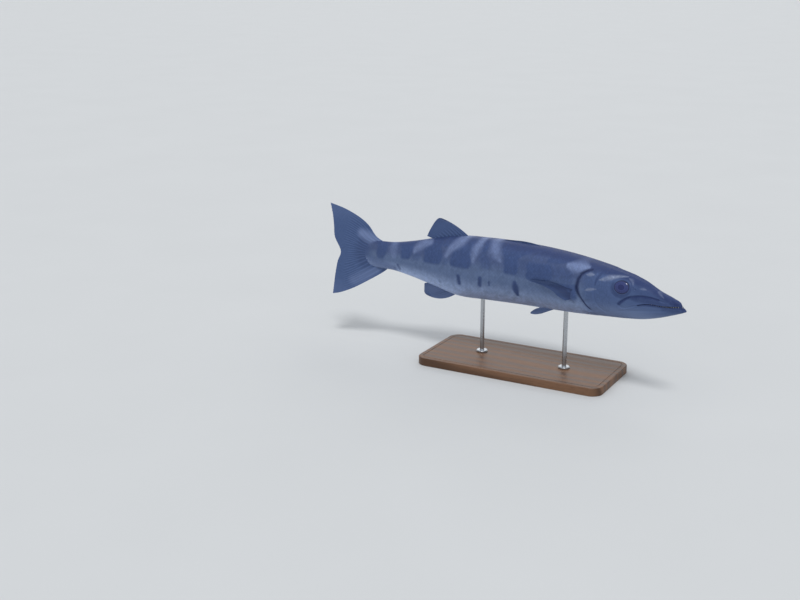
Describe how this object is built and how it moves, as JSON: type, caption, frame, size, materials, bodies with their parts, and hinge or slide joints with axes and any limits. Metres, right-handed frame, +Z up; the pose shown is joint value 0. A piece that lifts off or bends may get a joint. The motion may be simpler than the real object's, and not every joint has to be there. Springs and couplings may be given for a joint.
{
  "type": "great barracuda display model",
  "caption": "Life-size still model of a great barracuda swimming level, with barred back and blotched flank, held on a flat base by short rods.",
  "frame": {"origin": "middle of the underside of the stand's base", "axes": "+X towards the fish's head along the base, +Y to the fish's left, +Z up"},
  "size_m": [0.8811, 0.2, 0.33],
  "materials": {
    "barred_back_skin": "satin, slate-blue with dark bars",
    "silver_flank_skin": "satin silver with small scales",
    "dark_fin_membrane": "satin, ribbed by fin rays",
    "eye": "wet gloss",
    "stand_timber": "satin oiled",
    "stand_steel": "satin"
  },
  "bodies": {
    "root": {"head": "barred_back_skin", "lower_jaw": "silver_flank_skin", "trunk": "silver_flank_skin", "tail_stalk": "silver_flank_skin", "gill_cover_left": "silver_flank_skin", "gill_cover_right": "silver_flank_skin", "first_dorsal_fin": "dark_fin_membrane", "second_dorsal_fin": "dark_fin_membrane", "anal_fin": "dark_fin_membrane", "tail_fin": "dark_fin_membrane", "pectoral_fin_left": "dark_fin_membrane", "pectoral_fin_right": "dark_fin_membrane", "pelvic_fin_left": "dark_fin_membrane", "pelvic_fin_right": "dark_fin_membrane", "eye_left": "eye", "eye_right": "eye", "stand_base": "stand_timber", "stand_rod_front": "stand_steel", "stand_rod_rear": "stand_steel", "stand_collar_front": "stand_steel", "stand_collar_rear": "stand_steel"}
  },
  "joints": []
}
